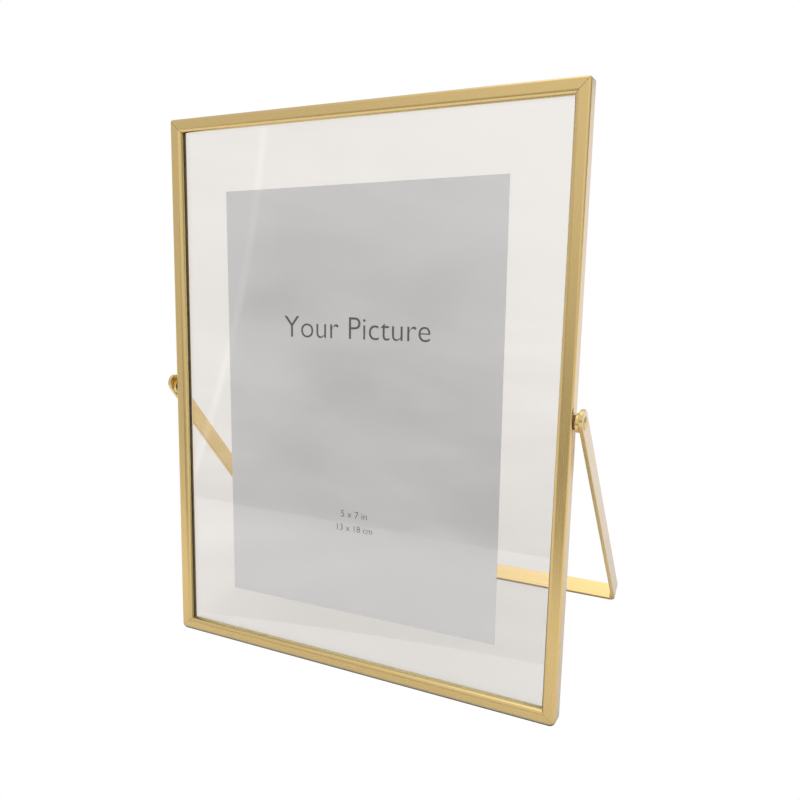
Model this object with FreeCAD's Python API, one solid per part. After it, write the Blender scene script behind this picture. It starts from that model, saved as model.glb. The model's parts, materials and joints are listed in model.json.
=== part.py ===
import FreeCAD, Part
import math
import os

# Standing picture frame with a sheet of card held between two panes, and a U-shaped stand.
# Every piece is modelled with the frame upright: X to the right, Y from front to back, Z up,
# zero at the middle of the front face's bottom edge. place_in_row() then leans it back until
# the bottom rail and the stand's crosspiece both touch the ground. All sizes in millimetres.

V = FreeCAD.Vector
X_AXIS = V(1, 0, 0)

# Outer size of the four mitred channel rails
FRAME_W = 183.0
FRAME_H = 234.0
FRAME_D = 6.8
RAIL_FACE = 5.7          # height of the front lip, seen from the front
REAR_FACE = 5.1          # height of the rear lip
FRONT_LIP_T = 1.9        # thickness of each lip
REAR_LIP_T = 1.0
WEB_T = 1.2              # thickness of the outer wall
OUTER_EDGE_R = 1.0       # rounding along the outside edges
FRONT_LIP_R = 1.8        # rolled inner edge of each lip
REAR_LIP_R = 0.9
GROOVE_EDGE_R = 0.08     # broken edges facing the glass
TOP_CORNER_R = 1.2       # rounding of the frame's outer corners, seen from the front
BOTTOM_CORNER_R = 2.6
SEAM_FIXED = 0.16        # open width of the bottom mitres
SEAM_LIFT = 0.24         # open width of the top mitres, where the rail lifts off

# Bent-strip corner keys inside the channels
KEY_T = 0.8
KEY_LEG = 13.0
KEY_BEND_R = 1.0
KEY_PLAY = 0.08          # sideways play in the groove

# Panes and card
PANE_T = 1.7
PANE_SIDE_GAP = 1.1      # from the pane's side edge to the channel wall
PANE_REST_GAP = 0.05     # over the bottom keys
PANE_TOP_GAP = 0.15      # under the top keys
PANE_CHAMFER = 0.3
CARD_W = 127.0
CARD_H = 178.0
CARD_T = 0.24
CARD_GAP = 0.03          # air on each side of the card
CARD_SHIFT_X = 0.9
CARD_SHIFT_Z = -2.4
CARD_TURN_DEG = 0.57

# Stand: one strip bent to a U, pivoted half-way up the stiles
STRIP_W = 7.5
STRIP_T = 1.6
STRIP_BEND_R = 2.8
STRIP_EDGE_R = 0.25
LEG_END_RISE = 2.0       # the legs' rounded ends are centred this far above the pivot
STAND_OUTER_X = 95.4     # outside face of each leg
STAND_REACH = 124.0      # pivot to the crosspiece's outer face
STAND_ANGLE_DEG = 41.85  # from the frame's plane, standing open
PIVOT_Y = (FRONT_LIP_T + FRAME_D - REAR_LIP_T) / 2    # middle of the groove, glass and card
PIVOT_Z = FRAME_H / 2

# Pivot hardware, one set each side
SHANK_R = 1.5
RUNNING_PLAY = 0.05      # leg on the shank, and between sliding faces
STAKED_PLAY = 0.02       # shank in the stile's hole
HEAD_R = 2.6
HEAD_H = 0.8
STAKED_R = 1.9
STAKED_H = 0.7
SPRING_R = 2.7
SPRING_T = 0.3
SPRING_H = 0.65
SPACER_R = 3.6
SPACER_CHAMFER = 0.2

HALF_W = FRAME_W / 2
GROOVE_Y = (FRONT_LIP_T, FRAME_D - REAR_LIP_T)
KEY_Y = (GROOVE_Y[0] + KEY_PLAY, GROOVE_Y[1] - KEY_PLAY)
LEG_INNER_X = STAND_OUTER_X - STRIP_T


def rounded_face(corners, plane_point):
    """Flat face from right-angled corners given as (a, b, radius)."""
    edges = []
    count = len(corners)
    starts, ends = [], []
    for i, (a, b, radius) in enumerate(corners):
        here = plane_point(a, b)
        before = (plane_point(*corners[i - 1][:2]) - here).normalize()
        after = (plane_point(*corners[(i + 1) % count][:2]) - here).normalize()
        starts.append(here + before * radius)
        ends.append(here + after * radius)
        if radius > 0:
            centre = here + (before + after) * radius
            middle = centre - (before + after).normalize() * radius
            edges.append(Part.Arc(starts[i], middle, ends[i]).toShape())
    for i in range(count):
        edges.append(Part.makeLine(ends[i], starts[(i + 1) % count]))
    return Part.Face(Part.Wire(Part.__sortEdges__(edges)))


def across_depth(a, b):
    """Point of a rail's cross-section: a is front to back, b is inwards."""
    return V(0, a, b)


def in_frame_plane(a, b):
    return V(a, 0, b)


def rail_bar(length):
    """Channel of the given length, lying along X with its outer wall down."""
    front, back = 0.0, FRAME_D
    section = rounded_face([
        (front, 0, 0),
        (back, 0, 0),
        (back, REAR_FACE, REAR_LIP_R),
        (GROOVE_Y[1], REAR_FACE, 0),
        (GROOVE_Y[1], WEB_T, GROOVE_EDGE_R),
        (GROOVE_Y[0], WEB_T, GROOVE_EDGE_R),
        (GROOVE_Y[0], RAIL_FACE, 0),
        (front, RAIL_FACE, FRONT_LIP_R),
    ], across_depth)
    bar = section.extrude(V(length, 0, 0))
    bar.translate(V(-length / 2, 0, 0))
    return bar


def mitre_prism(length, seam_start, seam_end):
    """Trapezium that trims a rail's two ends at 45 degrees, less its share of each seam."""
    half, inner = length / 2, length / 2 - RAIL_FACE
    start, end = seam_start / math.sqrt(2), seam_end / math.sqrt(2)
    points = [V(-half + start, 0, 0), V(half - end, 0, 0),
              V(inner - end, 0, RAIL_FACE), V(-inner + start, 0, RAIL_FACE)]
    return Part.Face(Part.makePolygon(points + points[:1])).extrude(V(0, FRAME_D, 0))


def frame_outline_block():
    """Block the size of the whole frame, rounded at its corners and along its outside edges."""
    outline = rounded_face([(-HALF_W, 0, BOTTOM_CORNER_R), (HALF_W, 0, BOTTOM_CORNER_R),
                            (HALF_W, FRAME_H, TOP_CORNER_R), (-HALF_W, FRAME_H, TOP_CORNER_R)],
                           in_frame_plane)
    block = outline.extrude(V(0, FRAME_D, 0))
    lies_flat = [edge for edge in block.Edges if edge.BoundBox.YLength < OUTER_EDGE_R]
    return block.makeFillet(OUTER_EDGE_R, lies_flat)


def rail(length, turn_deg, centre, seam_start, seam_end):
    """Mitred rail turned about Y and moved so its outer wall's middle is at centre."""
    shape = rail_bar(length).common(mitre_prism(length, seam_start, seam_end))
    shape.rotate(V(0, 0, 0), V(0, 1, 0), turn_deg)
    shape.translate(centre)
    return shape.common(frame_outline_block()).Solids[0]


def drill_pivot(shape, radius):
    """Bore both pivots' common axis through a shape."""
    drill = Part.makeCylinder(radius, 4 * HALF_W, V(-2 * HALF_W, PIVOT_Y, PIVOT_Z), X_AXIS)
    return shape.cut(drill).Solids[0]


def corner_key(side, top):
    """L-shaped key. side is -1 for left, 1 for right. A top key has play against the stile."""
    play = KEY_PLAY if top else 0.0
    outer_x, inner_x = HALF_W - WEB_T - play, HALF_W - WEB_T - play - KEY_T
    tip_x = HALF_W - WEB_T - KEY_LEG
    low, high = WEB_T, WEB_T + KEY_T
    key = rounded_face([
        (tip_x, low, 0), (outer_x, low, KEY_BEND_R), (outer_x, low + KEY_LEG, 0),
        (inner_x, low + KEY_LEG, 0), (inner_x, high, KEY_BEND_R - KEY_T), (tip_x, high, 0),
    ], in_frame_plane).extrude(V(0, KEY_Y[1] - KEY_Y[0], 0))
    key.translate(V(0, KEY_Y[0], 0))
    middle = V(0, 0, FRAME_H / 2)
    if top:
        key = key.mirror(middle, V(0, 0, 1))
    if side < 0:
        key = key.mirror(middle, X_AXIS)
    return key.Solids[0]


def pane(front_y):
    """Glass sheet with its edges broken."""
    half = HALF_W - WEB_T - PANE_SIDE_GAP
    bottom = WEB_T + KEY_T + PANE_REST_GAP
    top = FRAME_H - WEB_T - KEY_T - PANE_TOP_GAP
    sheet = Part.makeBox(2 * half, PANE_T, top - bottom, V(-half, front_y, bottom))
    return sheet.makeChamfer(PANE_CHAMFER, sheet.Edges)


def card(front_y):
    """Sheet of card, lying slightly low and slightly turned between the panes."""
    sheet = Part.makeBox(CARD_W, CARD_T, CARD_H, V(-CARD_W / 2, front_y, -CARD_H / 2))
    sheet.rotate(V(0, 0, 0), V(0, 1, 0), -CARD_TURN_DEG)
    sheet.translate(V(CARD_SHIFT_X, 0, FRAME_H / 2 + CARD_SHIFT_Z))
    return sheet


def stand_strip():
    """Strip bent to a U, built hanging straight down from the pivots and then swung open."""
    top, low = PIVOT_Z + LEG_END_RISE, PIVOT_Z - STAND_REACH
    out, inn = STAND_OUTER_X, LEG_INNER_X
    inner_bend = STRIP_BEND_R - STRIP_T
    outline = rounded_face([
        (-out, top, 0), (-out, low, STRIP_BEND_R), (out, low, STRIP_BEND_R), (out, top, 0),
        (inn, top, 0), (inn, low + STRIP_T, inner_bend), (-inn, low + STRIP_T, inner_bend),
        (-inn, top, 0),
    ], in_frame_plane)
    strip = outline.extrude(V(0, STRIP_W, 0))
    strip.translate(V(0, PIVOT_Y - STRIP_W / 2, 0))
    for face_x in (-out, inn):
        strip = strip.fuse(Part.makeCylinder(STRIP_W / 2, STRIP_T,
                                             V(face_x, PIVOT_Y, top), X_AXIS))
    strip = strip.removeSplitter()
    long_edges = [e for e in strip.Edges if not runs_through_thickness(e)]
    strip = drill_pivot(strip.makeFillet(STRIP_EDGE_R, long_edges), SHANK_R + RUNNING_PLAY)
    strip.rotate(V(0, PIVOT_Y, PIVOT_Z), X_AXIS, STAND_ANGLE_DEG)
    return strip


def runs_through_thickness(edge):
    """True for the short joins where the straight sides meet the rounded leg ends."""
    return edge.Length < STRIP_T + STRIP_EDGE_R and abs(edge.tangentAt(edge.FirstParameter).x) > 0.9


def turned(profile):
    """Solid of revolution about the pivot axis, from closed (x, radius) edges."""
    face = Part.Face(Part.Wire(Part.__sortEdges__(profile)))
    solid = face.revolve(V(0, 0, 0), X_AXIS, 360)
    solid.translate(V(0, PIVOT_Y, PIVOT_Z))
    return solid if solid.ShapeType == "Solid" else solid.Solids[0]


def ring_profile(points):
    corners = [V(x, r, 0) for x, r in points]
    return [Part.makeLine(a, b) for a, b in zip(corners, corners[1:] + corners[:1])]


def pivot_rivet():
    """Domed head outside the leg, plain shank, staked head inside the stile's channel."""
    head_x = STAND_OUTER_X + RUNNING_PLAY
    web_x = HALF_W - WEB_T
    line = [V(head_x + HEAD_H, 0, 0), V(web_x - STAKED_H, 0, 0),
            V(web_x - STAKED_H, STAKED_R - STAKED_H / 2, 0), V(web_x - STAKED_H / 2, STAKED_R, 0),
            V(web_x, STAKED_R, 0), V(web_x, SHANK_R, 0),
            V(head_x, SHANK_R, 0), V(head_x, HEAD_R, 0)]
    edges = [Part.makeLine(a, b) for a, b in zip(line, line[1:])]
    dome_r = (HEAD_R ** 2 + HEAD_H ** 2) / (2 * HEAD_H)
    half_turn = math.asin(HEAD_R / dome_r) / 2
    dome_x = head_x + HEAD_H - dome_r
    shoulder = V(dome_x + dome_r * math.cos(half_turn), dome_r * math.sin(half_turn), 0)
    edges.append(Part.Arc(line[-1], shoulder, line[0]).toShape())
    return turned(edges)


def spring_washer():
    """Coned washer against the stile, which keeps the pivot stiff."""
    start = HALF_W
    rise = SPRING_H - SPRING_T
    bore = SHANK_R + RUNNING_PLAY
    return turned(ring_profile([(start + rise, bore), (start + rise + SPRING_T, bore),
                                (start + SPRING_T, SPRING_R), (start, SPRING_R)]))


def spacer_washer():
    """Flat washer between the coned washer and the leg."""
    start = HALF_W + SPRING_H
    end = LEG_INNER_X - RUNNING_PLAY
    bore = SHANK_R + RUNNING_PLAY
    return turned(ring_profile([(start, bore), (end, bore), (end, SPACER_R - SPACER_CHAMFER),
                                (end - SPACER_CHAMFER, SPACER_R), (start + SPACER_CHAMFER, SPACER_R),
                                (start, SPACER_R - SPACER_CHAMFER)]))


def lean_deg():
    """Backward lean at which the bottom rail's rear edge and the crosspiece share the ground."""
    swing = math.radians(STAND_ANGLE_DEG)
    along = (math.sin(swing), -math.cos(swing))
    across = (math.cos(swing), math.sin(swing))
    reach, offset = STAND_REACH - STRIP_EDGE_R, -(STRIP_W / 2 - STRIP_EDGE_R)
    foot_y = PIVOT_Y + along[0] * reach + across[0] * offset
    foot_z = PIVOT_Z + along[1] * reach + across[1] * offset
    rise, run = foot_z - OUTER_EDGE_R, foot_y - (FRAME_D - OUTER_EDGE_R)
    tilt = math.atan2(rise, run) + math.asin((OUTER_EDGE_R - STRIP_EDGE_R) / math.hypot(rise, run))
    return math.degrees(tilt)


def place_in_row(parts):
    """Lean everything back, then put the origin under the middle of the whole object."""
    lean = lean_deg()
    for shape in parts.values():
        shape.rotate(V(0, 0, 0), X_AXIS, -lean)
    box = Part.makeCompound(list(parts.values())).optimalBoundingBox()
    shift = V(-(box.XMin + box.XMax) / 2, -(box.YMin + box.YMax) / 2, -box.ZMin)
    for shape in parts.values():
        shape.translate(shift)
    return lean, shift


def build():
    parts = {}
    middle_z = FRAME_H / 2
    parts["bottom_rail"] = rail(FRAME_W, 0, V(0, 0, 0), SEAM_FIXED / 2, SEAM_FIXED / 2)
    parts["top_rail"] = rail(FRAME_W, 180, V(0, 0, FRAME_H), SEAM_LIFT / 2, SEAM_LIFT / 2)
    stiles = {"left_stile": (90, -HALF_W, SEAM_LIFT, SEAM_FIXED),
              "right_stile": (-90, HALF_W, SEAM_FIXED, SEAM_LIFT)}
    for name, (turn, x, seam_start, seam_end) in stiles.items():
        bar = rail(FRAME_H, turn, V(x, 0, middle_z), seam_start / 2, seam_end / 2)
        parts[name] = drill_pivot(bar, SHANK_R + STAKED_PLAY)

    for side, side_name in ((-1, "left"), (1, "right")):
        parts["bottom_%s_key" % side_name] = corner_key(side, top=False)
        parts["top_%s_key" % side_name] = corner_key(side, top=True)

    half_slot = CARD_T / 2 + CARD_GAP
    parts["front_glass"] = pane(PIVOT_Y - half_slot - PANE_T)
    parts["insert_card"] = card(PIVOT_Y - CARD_T / 2)
    parts["rear_glass"] = pane(PIVOT_Y + half_slot)

    parts["stand_strip"] = stand_strip()
    hardware = {"pivot_rivet": pivot_rivet(), "spring_washer": spring_washer(),
                "spacer_washer": spacer_washer()}
    for name, shape in hardware.items():
        parts["right_" + name] = shape
        parts["left_" + name] = shape.mirror(V(0, 0, 0), X_AXIS)
    return parts


parts = build()
lean, shift = place_in_row(parts)
os.makedirs("parts", exist_ok=True)
for node, shape in parts.items():
    shape.exportStep("parts/%s.step" % node)
    print("%-22s solids %d valid %s volume %9.2f" % (node, len(shape.Solids), shape.isValid(), shape.Volume))
print("lean %.4f deg, shift %.4f %.4f %.4f" % (lean, shift.x, shift.y, shift.z))
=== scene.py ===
import json
import math

import bpy
from mathutils import Matrix, Vector


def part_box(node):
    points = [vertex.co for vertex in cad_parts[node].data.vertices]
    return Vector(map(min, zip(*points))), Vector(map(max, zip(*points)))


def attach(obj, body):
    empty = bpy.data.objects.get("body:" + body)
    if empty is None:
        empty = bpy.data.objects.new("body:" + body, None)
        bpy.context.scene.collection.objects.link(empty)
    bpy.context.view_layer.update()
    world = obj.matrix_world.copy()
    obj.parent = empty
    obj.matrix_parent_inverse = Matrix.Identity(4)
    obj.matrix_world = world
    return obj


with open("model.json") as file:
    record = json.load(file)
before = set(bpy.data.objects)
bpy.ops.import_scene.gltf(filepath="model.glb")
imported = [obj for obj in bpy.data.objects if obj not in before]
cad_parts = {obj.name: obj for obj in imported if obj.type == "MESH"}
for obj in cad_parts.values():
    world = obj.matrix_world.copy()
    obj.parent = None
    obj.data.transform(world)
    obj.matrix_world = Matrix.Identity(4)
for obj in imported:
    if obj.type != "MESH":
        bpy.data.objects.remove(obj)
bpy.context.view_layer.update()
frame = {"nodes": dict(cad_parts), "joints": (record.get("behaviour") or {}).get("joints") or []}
nodes = frame["nodes"]

# ---------------------------------------------------------------- sizes and places, in metres
MM = 0.001

# The frame leans back about X; its pivots and the slide of its panes come from the record.
JOINTS = {joint["name"]: joint for joint in frame["joints"]}
PANE_UP = Vector(JOINTS["glass_slide"]["axis"])
LEAN = math.atan2(PANE_UP.y, PANE_UP.z)
PIVOT = Vector(JOINTS["stand_pivot"]["pos_m"])
LEG_SWING = math.radians(-JOINTS["stand_pivot"]["range_deg"][0])

# Printing on the card: piece, text, width of the line, and height above the card's middle
CARD_TURN = math.radians(0.57)
CARD_CENTRE = (Vector(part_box("insert_card")[0]) + Vector(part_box("insert_card")[1])) / 2
CARD_HALF_T = 0.12 * MM
INK_T = 0.012 * MM
THINNING = 0.010                        # taken off each side of a stroke, per unit of letter size
CURVE_STEPS = 6                         # in each curved piece of a letter's outline
LINES = (
    ("card_heading", "Your Picture", 68 * MM, 32 * MM),
    ("card_size_1", "5 x 7 in", 12.5 * MM, -45.5 * MM),
    ("card_size_2", "13 x 18 cm", 17 * MM, -51.5 * MM),
)

# Half the length over which the stand's strip runs crosswise
CROSS_HALF = 92.0 * MM

# Region of the channels' inside, as half extents about the pivots' middle; and the painted shade
# along the frame's lower edge, which sets in between these distances below the pivots
CHANNEL_HALF = Vector((91.0, 2.0, 116.5)) * MM
PAINTED_SHADE_EDGE = (115.4 * MM, 115.9 * MM)

# Camera, measured from the pivots' middle in the frame's own leaning axes
CAMERA_AT = Vector((159.74, -279.17, 45.85)) * MM
CAMERA_HEADING = math.radians(27.60)    # turned from +Y towards -X
CAMERA_PITCH = math.radians(-9.489)
CAMERA_ROLL = math.radians(1.012)
CAMERA_LENS = 35.52
CAMERA_SENSOR = 36
CAMERA_SHIFT = (0.0217, 0.0266)
CAMERA_CLIP = (0.01, 50)

# ---------------------------------------------------------------- colours (linear) and patterns
BRASS = (0.69, 0.505, 0.195, 1)
BRASS_WORN = (0.84, 0.67, 0.34, 1)
BRASS_PAINTED_SHEEN = (0.42, 0.355, 0.305, 1)    # painted sheen, where seen at a slant
BRASS_PAINTED_SHADE = (0.45, 0.39, 0.28, 1)      # painted shade along the lower edge
# Painted light for the rails' channels and painted shade for the stiles' channels
CHANNEL_PAINTED_LIGHT = (1.0, 0.86, 0.54, 1)
CHANNEL_PAINTED_SHADE = (0.16, 0.13, 0.07, 1)
# Bronze of the spring washers, darkened as painted shade of the gaps at the pivots
BRONZE_WITH_PAINTED_SHADE = (0.34, 0.21, 0.11, 1)
STEEL = (0.55, 0.55, 0.53, 1)
SPANGLE_DARK = 0.7                      # share of the tint in the darkest patches
PAPER = (0.615, 0.615, 0.645, 1)
PAPER_DARK = 0.965                      # share of it between the fibres
INK = (0.035, 0.035, 0.038, 1)
INK_THIN = 2.2                          # times as pale where the ink is thin
GLASS_TINT = (1.0, 0.99, 0.985, 1)
GLASS_BODY = (0.80, 0.93, 0.87, 1)
GLASS_SHADOW = (0.93, 0.94, 0.935, 1)

# Grain of the brass, in cycles per metre along a bar and across it, and how much it wears pale
GRAIN_ALONG = 55
GRAIN_ACROSS = 5200
GRAIN_ON_X = (GRAIN_ALONG, GRAIN_ACROSS, GRAIN_ACROSS)
GRAIN_ON_Z = (GRAIN_ACROSS, GRAIN_ACROSS, GRAIN_ALONG)
GRAIN_EVEN = (GRAIN_ACROSS, GRAIN_ACROSS, GRAIN_ACROSS)
GRAIN_WEAR = 0.22
GRAIN_SPAN = (0.3, 0.7)                 # of the grain's value, over which the roughness changes
BRASS_ROUGH = (0.24, 0.32)
CHANNEL_ROUGH = 0.7

# Rubbed edges: their width, and how far the rounded normal agrees with the true one where the
# edge is fully rubbed and where it is not rubbed at all
RUBBED_R = 0.35 * MM
RUBBED_MATCH = (0.86, 0.995)

# Slant, from 0 face on to 1 edge on, at which the painted sheen starts and is at its palest,
# and how pale that is
SLANT_SPAN = (0.55, 0.85)
PAINTED_SHEEN_SHARE = 0.8

# Other patterns, in cells per metre
MOTTLE_CELLS = 260
STEEL_CELLS = 700
BRONZE_CELLS = 1500
WAVE_CELLS = 9
FIBRE_CELLS = 1400
CARD_CLOUD_CELLS = 45
INK_CELLS = 2500
SPANGLE_ROUGH = (0.35, 0.55)
FIBRE_SPAN = (0.1, 0.45)                # of fibre times cloud, over which the card turns pale

# ---------------------------------------------------------------- studio
# The floor ends FLOOR_FRONT before the frame and lies just below its foot
FLOOR_REACH = 6.0
FLOOR_FRONT = 1.1
FLOOR_DROP = 0.02 * MM
FLOOR_COLOUR = (0.83, 0.81, 0.795, 1)
FLOOR_SHADE = (0.04, 0.038, 0.036, 1)
# Shades on the floor: how deep, and the distances between which they fade out, from the bottom
# rail's front and from the edge of the whole object's footprint
RAIL_SHADES = ((1.0, 0.0, 8 * MM), (0.15, 0.0, 220 * MM))
FOOTPRINT_SHADE = (0.28, -8 * MM, 12 * MM)

WHITE = (1, 1, 1, 1)
WARM = (1.0, 0.975, 0.955, 1)
ROOM_TONE = (1.0, 0.92, 0.78, 1)        # of the surroundings where they are dim
TONE_SPAN = (0.25, 0.7)                 # brightness over which that tone turns to WARM
THROUGH_GLASS = 0.81                    # brightness of the plain backdrop seen through glass
FLOOR_THROUGH_GLASS = 0.75              # share of it laid over the floor, seen through glass

# Cloudy bands in the surroundings: repeats in the unit sphere, span of the pattern, brightness
CLOUD_STRETCH = (4.5, 4.5, 15.0)
CLOUD_SPAN = (0.38, 0.64)
ROOM_DIM = (0.05, 0.74)

# Soft lights laid over the clouds in turn. Each has its turn from straight in front (to the
# right), its rise, the radii of its core and rim, all in degrees, and its strength
GLOWS = {
    "sweep": (180, 0, 70, 100, 0.66),
    "right_wall": (95, 5, 20, 50, 0.35),
    "ceiling": (0, 90, 42, 78, 0.95),
    "skylight": (180, 74, 12, 36, 1.95),
    "upper_wall": (-6, 36, 10, 32, 0.95),
    "front_lamp": (30, 30, 10, 32, 1.15),
    "side_lamp": (58, 18, 14, 34, 0.85),
    "window_edge": (-100, 7.4, 60.45, 60.75, 1.3),
    "window": (-100, 7.4, 60.0, 60.3, 0.76),
}

# One wide, weak light from above makes the soft shadows
SUN_FROM = Vector((-0.10, -0.30, 1.0))
SUN_SPREAD = math.radians(60)
SUN_POWER = 0.9


# ---------------------------------------------------------------- node helpers
# The Mix node's two inputs and its output, for each kind of data
MIX_SOCKETS = {"FLOAT": (2, 3, 0), "VECTOR": (4, 5, 1), "RGBA": (6, 7, 2)}


def new_material(name):
    """Material with an empty tree but for its output; returns (material, tree, output)."""
    material = bpy.data.materials.new(name)
    material.use_nodes = True
    tree = material.node_tree
    tree.nodes.clear()
    return material, tree, tree.nodes.new("ShaderNodeOutputMaterial")


def add(tree, kind, inputs=None, **settings):
    """New node with its settings. Each input is a plain value, or an output socket to link."""
    node = tree.nodes.new(kind)
    for key, value in settings.items():
        setattr(node, key, value)
    for key, value in (inputs or {}).items():
        if isinstance(value, bpy.types.NodeSocket):
            tree.links.new(value, node.inputs[key])
        else:
            node.inputs[key].default_value = value
    return node


def position(tree):
    """Place on the object, in metres along the scene's axes at rest."""
    return add(tree, "ShaderNodeTexCoord").outputs["Object"]


def calculate(tree, operation, *operands, **settings):
    """Result of a Math node on numbers and output sockets."""
    node = add(tree, "ShaderNodeMath", dict(enumerate(operands)), operation=operation, **settings)
    return node.outputs["Value"]


def ramp(tree, source, low, high, start=0.0, end=1.0, **settings):
    """The source mapped from start..end onto low..high, and held beyond them."""
    node = add(tree, "ShaderNodeMapRange", {"Value": source, "From Min": start, "From Max": end,
                                           "To Min": low, "To Max": high}, **settings)
    return node.outputs["Result"]


def mix(tree, kind, factor, low, high):
    """Numbers (FLOAT), vectors (VECTOR) or colours (RGBA) mixed by the factor."""
    first, second, result = MIX_SOCKETS[kind]
    node = add(tree, "ShaderNodeMix", {0: factor, first: low, second: high}, data_type=kind)
    return node.outputs[result]


def mix_shaders(tree, factor, first, second):
    """Two shaders mixed by the factor."""
    return add(tree, "ShaderNodeMixShader", {0: factor, 1: first, 2: second}).outputs["Shader"]


def noise(tree, where, cells, **inputs):
    """Value of a noise texture; its other inputs are given by name, in lower case."""
    values = {key.capitalize(): value for key, value in inputs.items()}
    node = add(tree, "ShaderNodeTexNoise", {"Vector": where, "Scale": cells, **values})
    return node.outputs["Fac"]


def bump(tree, height, strength, distance):
    """Normal roughened by a height pattern."""
    node = add(tree, "ShaderNodeBump", {"Height": height, "Strength": strength,
                                       "Distance": distance})
    return node.outputs["Normal"]


def agreement(tree, one, other):
    """Dot product of two directions, each an output socket or a plain vector."""
    node = add(tree, "ShaderNodeVectorMath", {0: one, 1: other}, operation="DOT_PRODUCT")
    return node.outputs["Value"]


def along(tree, turn, stretch):
    """Place on the object, turned about X by turn, then scaled by (x, y, z) per metre."""
    spun = add(tree, "ShaderNodeMapping", {"Vector": position(tree), "Rotation": (turn, 0, 0)},
               vector_type="TEXTURE")
    scaled = add(tree, "ShaderNodeMapping", {"Vector": spun.outputs["Vector"], "Scale": stretch})
    return scaled.outputs["Vector"]


def split(tree, vector):
    """The outputs X, Y and Z of a vector."""
    return add(tree, "ShaderNodeSeparateXYZ", {"Vector": vector}).outputs


def between(tree, source, centre, half):
    """1 where the source lies within half of centre, else 0."""
    return calculate(tree, "COMPARE", source, centre, half)


def fading(tree, source, centre, start, end, peak):
    """peak where the source lies within start of centre, fading to 0 at end from it."""
    away = calculate(tree, "ABSOLUTE", calculate(tree, "SUBTRACT", source, centre))
    return ramp(tree, away, 0.0, peak, end, start)


def scaled_colour(colour, share):
    """Colour scaled by share, still opaque."""
    return tuple(share * part for part in colour[:3]) + (1,)


# ---------------------------------------------------------------- materials
def channel_and_painted_shade_edge(tree):
    """Masks of the rails' surfaces facing the panes' edges, and of the painted shade along the
    lower edge.
    """
    place = split(tree, along(tree, -LEAN, (1, 1, 1)))
    middle = Matrix.Rotation(LEAN, 3, "X") @ PIVOT
    low = ramp(tree, place["Z"], 1.0, 0.0, middle.z - PAINTED_SHADE_EDGE[1], middle.z - PAINTED_SHADE_EDGE[0])
    across = between(tree, place["X"], 0.0, CHANNEL_HALF.x)
    deep = between(tree, place["Y"], middle.y, CHANNEL_HALF.y)
    high = between(tree, place["Z"], middle.z, CHANNEL_HALF.z)
    return calculate(tree, "MULTIPLY", calculate(tree, "MULTIPLY", across, deep), high), low


def brass(name, turn, stretch, channel=None, cross_half=None):
    """Satin brass under lacquer: lengthwise grain, faint mottling, rubbed edges and painted
    sheen.

    channel is the painted light (rails) or painted shade (stiles) colour of the rough, non-metal
    channel inside. Within cross_half of the middle plane the grain runs along X instead.
    """
    material, tree, output = new_material(name)
    where = position(tree)
    fine = along(tree, turn, stretch)
    if cross_half is not None:
        middle = between(tree, split(tree, where)["X"], 0.0, cross_half)
        fine = mix(tree, "VECTOR", middle, fine, along(tree, turn, GRAIN_ON_X))
    grain = noise(tree, fine, 1.0, detail=3.0, roughness=0.6)
    mottle = noise(tree, where, MOTTLE_CELLS, detail=4.0)

    # Rounded edges are rubbed a little brighter than the flats
    flat = add(tree, "ShaderNodeNewGeometry").outputs["Normal"]
    soft = add(tree, "ShaderNodeBevel", {"Radius": RUBBED_R}, samples=4).outputs["Normal"]
    edge = ramp(tree, agreement(tree, flat, soft), 1.0, 0.0, *RUBBED_MATCH)
    patchy = calculate(tree, "MULTIPLY", edge, mottle)
    worn = calculate(tree, "MULTIPLY_ADD", grain, GRAIN_WEAR, patchy, use_clamp=True)
    colour = mix(tree, "RGBA", worn, BRASS, BRASS_WORN)

    # Painted sheen: the metal's colour turns pale where it is seen at a slant
    slant = add(tree, "ShaderNodeLayerWeight", {"Blend": 0.5}).outputs["Facing"]
    painted_sheen = ramp(tree, slant, 0.0, PAINTED_SHEEN_SHARE, *SLANT_SPAN)
    colour = mix(tree, "RGBA", painted_sheen, colour, BRASS_PAINTED_SHEEN)

    metal = 1.0
    rough = ramp(tree, grain, *BRASS_ROUGH, *GRAIN_SPAN)
    if channel is not None:
        inside, low = channel_and_painted_shade_edge(tree)
        # Painted shade: the brass is darkened along the frame's lower edge
        colour = mix(tree, "RGBA", low, colour, BRASS_PAINTED_SHADE)
        # The channels' inside takes the colour given as channel: painted light on the rails,
        # painted shade on the stiles
        colour = mix(tree, "RGBA", inside, colour, channel)
        metal = mix(tree, "FLOAT", inside, metal, 0.0)
        rough = mix(tree, "FLOAT", inside, rough, CHANNEL_ROUGH)
    shader = add(tree, "ShaderNodeBsdfPrincipled", {
        "Base Color": colour, "Metallic": metal, "Roughness": rough,
        "Specular Tint": (1.0, 0.96, 0.88, 1), "Coat Weight": 1.0, "Coat Roughness": 0.22,
        "Coat IOR": 1.5, "Normal": bump(tree, grain, strength=0.05, distance=0.03 * MM)})
    tree.links.new(shader.outputs["BSDF"], output.inputs["Surface"])
    return material


def spangled(name, tint, cells):
    """Dull metal with patchy mottling, in cells per metre."""
    material, tree, output = new_material(name)
    spangle = add(tree, "ShaderNodeTexVoronoi", {"Vector": position(tree), "Scale": cells})
    patch = spangle.outputs["Distance"]
    shader = add(tree, "ShaderNodeBsdfPrincipled", {
        "Base Color": mix(tree, "RGBA", patch, tint, scaled_colour(tint, SPANGLE_DARK)),
        "Metallic": 1.0, "Roughness": ramp(tree, patch, *SPANGLE_ROUGH)})
    tree.links.new(shader.outputs["BSDF"], output.inputs["Surface"])
    return material


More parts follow.
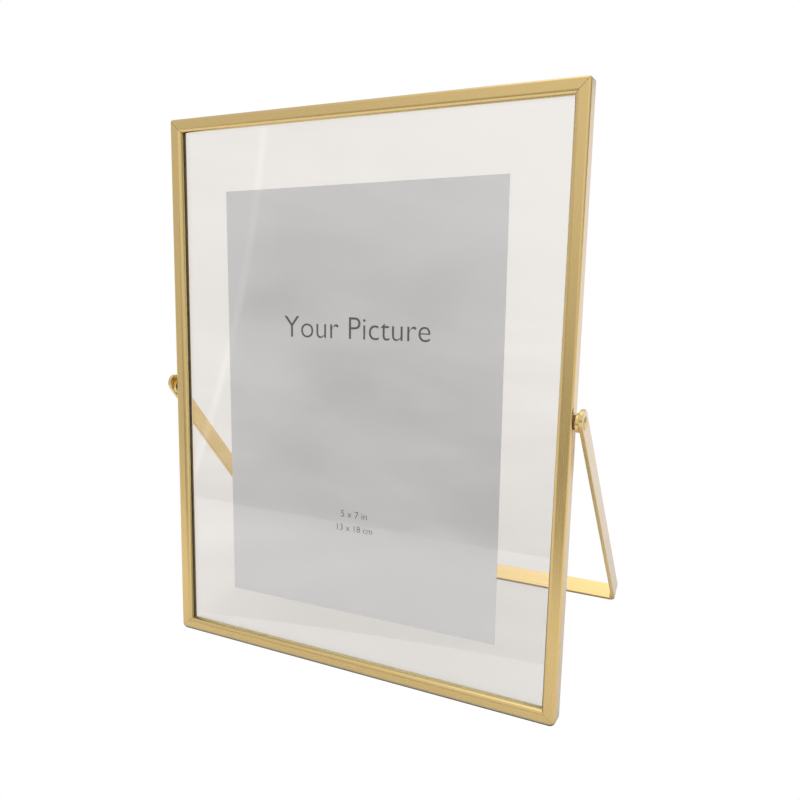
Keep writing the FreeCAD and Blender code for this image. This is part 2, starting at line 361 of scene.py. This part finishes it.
def glass():
    """Clear float glass, green only through its depth. Soft light passes it without caustics."""
    material, tree, output = new_material("float_glass")
    wave = noise(tree, position(tree), WAVE_CELLS, detail=1.0)
    clear = add(tree, "ShaderNodeBsdfPrincipled", {
        "Base Color": GLASS_TINT, "Roughness": 0.0, "IOR": 1.5, "Transmission Weight": 1.0,
        "Normal": bump(tree, wave, strength=0.04, distance=0.1 * MM)})
    passing = add(tree, "ShaderNodeBsdfTransparent", {"Color": GLASS_SHADOW})
    ray = add(tree, "ShaderNodeLightPath").outputs
    soft_ray = calculate(tree, "MAXIMUM", ray["Is Shadow Ray"], ray["Is Reflection Ray"])
    surface = mix_shaders(tree, soft_ray, clear.outputs["BSDF"], passing.outputs["BSDF"])
    body = add(tree, "ShaderNodeVolumeAbsorption", {"Color": GLASS_BODY, "Density": 12.0})
    tree.links.new(surface, output.inputs["Surface"])
    tree.links.new(body.outputs["Volume"], output.inputs["Volume"])
    return material


def paper():
    """Card with a soft sheen, faint fibres and cloudiness."""
    material, tree, output = new_material("sheen_card")
    where = position(tree)
    fibre = noise(tree, where, FIBRE_CELLS, detail=5.0, distortion=1.5)
    cloud = noise(tree, where, CARD_CLOUD_CELLS, detail=3.0)
    level = ramp(tree, calculate(tree, "MULTIPLY", fibre, cloud), 0.0, 1.0, *FIBRE_SPAN)
    shader = add(tree, "ShaderNodeBsdfPrincipled", {
        "Base Color": mix(tree, "RGBA", level, scaled_colour(PAPER, PAPER_DARK), PAPER),
        "Roughness": 0.62, "Specular IOR Level": 0.35, "Coat Weight": 1.0,
        "Coat Roughness": 0.12, "Coat IOR": 2.3,
        "Normal": bump(tree, fibre, strength=0.15, distance=0.02 * MM)})
    tree.links.new(shader.outputs["BSDF"], output.inputs["Surface"])
    return material


def ink():
    """Dark grey printing ink, slightly uneven in density."""
    material, tree, output = new_material("printing_ink")
    speck = noise(tree, position(tree), INK_CELLS, detail=2.0)
    shader = add(tree, "ShaderNodeBsdfPrincipled", {
        "Base Color": mix(tree, "RGBA", speck, INK, scaled_colour(INK, INK_THIN)),
        "Roughness": 0.5})
    tree.links.new(shader.outputs["BSDF"], output.inputs["Surface"])
    return material


def dress(names, material):
    """Give the named CAD pieces the material."""
    for name in names:
        nodes[name].data.materials.clear()
        nodes[name].data.materials.append(material)


# The rails' channels carry painted light, the stiles' channels painted shade
dress(("top_rail", "bottom_rail"), brass("brass_rail", -LEAN, GRAIN_ON_X, CHANNEL_PAINTED_LIGHT))
dress(("left_stile", "right_stile"), brass("brass_stile", -LEAN, GRAIN_ON_Z, CHANNEL_PAINTED_SHADE))
dress(("stand_strip",),
      brass("brass_stand", LEG_SWING - LEAN, GRAIN_ON_Z, cross_half=CROSS_HALF))
dress(("left_pivot_rivet", "right_pivot_rivet", "left_spacer_washer", "right_spacer_washer"),
      brass("brass_turned", 0.0, GRAIN_EVEN))
dress([name for name in nodes if name.endswith("_key")],
      spangled("plated_steel", STEEL, STEEL_CELLS))
# The spring washers' dark bronze is partly painted shade of the gaps at the pivots
dress([name for name in nodes if name.endswith("_spring_washer")],
      spangled("bronze_with_painted_shade", BRONZE_WITH_PAINTED_SHADE, BRONZE_CELLS))
dress(("front_glass", "rear_glass"), glass())
dress(("insert_card",), paper())


# ---------------------------------------------------------------- printing on the card
def printed_line(name, text, width, rise, material):
    """Line of lettering lying on the card's front, centred on it and as wide as asked."""
    curve = bpy.data.curves.new(name, "FONT")
    curve.body = text
    curve.align_x = "CENTER"
    curve.align_y = "CENTER"
    curve.size = 1.0
    curve.resolution_u = CURVE_STEPS
    draft = bpy.data.objects.new(name + "_draft", curve)
    bpy.context.scene.collection.objects.link(draft)
    bpy.context.view_layer.update()
    size = width / draft.dimensions.x
    curve.size = size
    curve.extrude = INK_T / 2
    curve.offset = -THINNING * size
    bpy.context.view_layer.update()
    finished = draft.evaluated_get(bpy.context.evaluated_depsgraph_get())
    mesh = bpy.data.meshes.new_from_object(finished)
    mesh.name = name
    bpy.data.objects.remove(draft)
    piece = bpy.data.objects.new(name, mesh)
    bpy.context.scene.collection.objects.link(piece)
    stand_up = Matrix.Rotation(math.pi / 2, 4, "X")
    turn = Matrix.Rotation(-CARD_TURN, 4, "Y")
    lean = Matrix.Rotation(-LEAN, 4, "X")
    lift = Matrix.Translation((0, -(CARD_HALF_T + INK_T / 2), rise))
    mesh.transform(Matrix.Translation(CARD_CENTRE) @ lean @ turn @ lift @ stand_up)
    mesh.materials.append(material)
    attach(piece, "glass_pack")


printing = ink()
for line in LINES:
    printed_line(*line, printing)


# ---------------------------------------------------------------- stage, light and camera
def by_ray(tree, natural, through_glass, share, direct):
    """Show direct to the camera, a share of through_glass behind panes, and natural otherwise."""
    ray = add(tree, "ShaderNodeLightPath").outputs
    part = calculate(tree, "MULTIPLY", ray["Is Transmission Ray"], share)
    indirect = mix_shaders(tree, part, natural.outputs[0], through_glass.outputs[0])
    return mix_shaders(tree, ray["Is Camera Ray"], indirect, direct.outputs[0])


def floor():
    """Pale floor, shaded under the object. The camera sees the backdrop through it."""
    mesh = bpy.data.meshes.new("floor")
    mesh.from_pydata([(-FLOOR_REACH, -FLOOR_FRONT, 0), (FLOOR_REACH, -FLOOR_FRONT, 0),
                      (FLOOR_REACH, FLOOR_REACH, 0), (-FLOOR_REACH, FLOOR_REACH, 0)],
                     [], [(0, 1, 2, 3)])
    piece = bpy.data.objects.new("floor", mesh)
    piece.location.z = -FLOOR_DROP
    bpy.context.scene.collection.objects.link(piece)
    material, tree, output = new_material("pale_floor")
    place = split(tree, position(tree))
    foot, top = (Vector(corner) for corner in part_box("bottom_rail"))
    shades = [(foot.y, 0.0, *shade) for shade in RAIL_SHADES]
    shades.append((0.0, -foot.y, *FOOTPRINT_SHADE))
    deepest = 0.0
    for centre, half, peak, start, end in shades:
        shade = fading(tree, place["Y"], centre, half + start, half + end, peak)
        shade = fading(tree, place["X"], 0.0, top.x + start, top.x + end, shade)
        deepest = calculate(tree, "MAXIMUM", deepest, shade)
    natural = add(tree, "ShaderNodeBsdfPrincipled", {
        "Base Color": mix(tree, "RGBA", deepest, FLOOR_COLOUR, FLOOR_SHADE),
        "Roughness": 0.7, "Specular IOR Level": 0.2})
    plain = add(tree, "ShaderNodeEmission", {"Color": WARM, "Strength": THROUGH_GLASS})
    clear = add(tree, "ShaderNodeBsdfTransparent")
    surface = by_ray(tree, natural, plain, FLOOR_THROUGH_GLASS, clear)
    tree.links.new(surface, output.inputs["Surface"])
    mesh.materials.append(material)


def glow(tree, direction, below, turn, rise, core, rim, strength):
    """Brightness of a round soft light laid over what is below it; angles in degrees."""
    turn, rise = math.radians(turn), math.radians(rise)
    aim = (math.sin(turn) * math.cos(rise), -math.cos(turn) * math.cos(rise), math.sin(rise))
    edge = ramp(tree, agreement(tree, direction, aim), 0.0, 1.0, math.cos(math.radians(rim)),
                math.cos(math.radians(core)), interpolation_type="SMOOTHSTEP")
    return mix(tree, "FLOAT", edge, below, strength)


def studio_world():
    """Dim room with cloudy bands, lit by the GLOWS; the backdrop is white to the camera."""
    world = bpy.data.worlds.new("studio")
    world.use_nodes = True
    tree = world.node_tree
    tree.nodes.clear()
    output = tree.nodes.new("ShaderNodeOutputWorld")
    direction = add(tree, "ShaderNodeTexCoord").outputs["Generated"]
    squash = add(tree, "ShaderNodeMapping", {"Vector": direction, "Scale": CLOUD_STRETCH})
    clouds = noise(tree, squash.outputs["Vector"], 1.0, detail=4.0, distortion=0.8)
    brightness = ramp(tree, clouds, *ROOM_DIM, *CLOUD_SPAN)
    for light in GLOWS.values():
        brightness = glow(tree, direction, brightness, *light)
    tone = mix(tree, "RGBA", ramp(tree, brightness, 0.0, 1.0, *TONE_SPAN), ROOM_TONE, WARM)
    natural = add(tree, "ShaderNodeBackground", {"Color": tone, "Strength": brightness})
    plain = add(tree, "ShaderNodeBackground", {"Color": WARM, "Strength": THROUGH_GLASS})
    white = add(tree, "ShaderNodeBackground", {"Color": WHITE})
    tree.links.new(by_ray(tree, natural, plain, 1.0, white), output.inputs["Surface"])
    bpy.context.scene.world = world


def overhead_sun():
    """Distant soft light, without glints."""
    lamp = bpy.data.lights.new("overhead", "SUN")
    lamp.angle = SUN_SPREAD
    lamp.energy = SUN_POWER
    piece = bpy.data.objects.new("overhead", lamp)
    piece.visible_glossy = False
    piece.rotation_euler = (-SUN_FROM).to_track_quat("-Z", "Y").to_euler()
    bpy.context.scene.collection.objects.link(piece)


def camera():
    """Camera at the photograph's place, standing fixed to the frame as it leans at rest."""
    data = bpy.data.cameras.new("camera")
    data.lens = CAMERA_LENS
    data.sensor_width = CAMERA_SENSOR
    data.shift_x, data.shift_y = CAMERA_SHIFT
    data.clip_start, data.clip_end = CAMERA_CLIP
    piece = bpy.data.objects.new("camera", data)
    heading = Matrix.Rotation(CAMERA_HEADING, 4, "Z")
    pitch = Matrix.Rotation(math.pi / 2 + CAMERA_PITCH, 4, "X")
    roll = Matrix.Rotation(CAMERA_ROLL, 4, "Z")
    leaning = Matrix.Translation(PIVOT) @ Matrix.Rotation(-LEAN, 4, "X")
    piece.matrix_world = leaning @ Matrix.Translation(CAMERA_AT) @ (heading @ pitch @ roll)
    bpy.context.scene.collection.objects.link(piece)
    bpy.context.scene.camera = piece


floor()
studio_world()
overhead_sun()
camera()
scene = bpy.context.scene
scene.view_settings.view_transform = "Standard"
scene.cycles.use_denoising = True
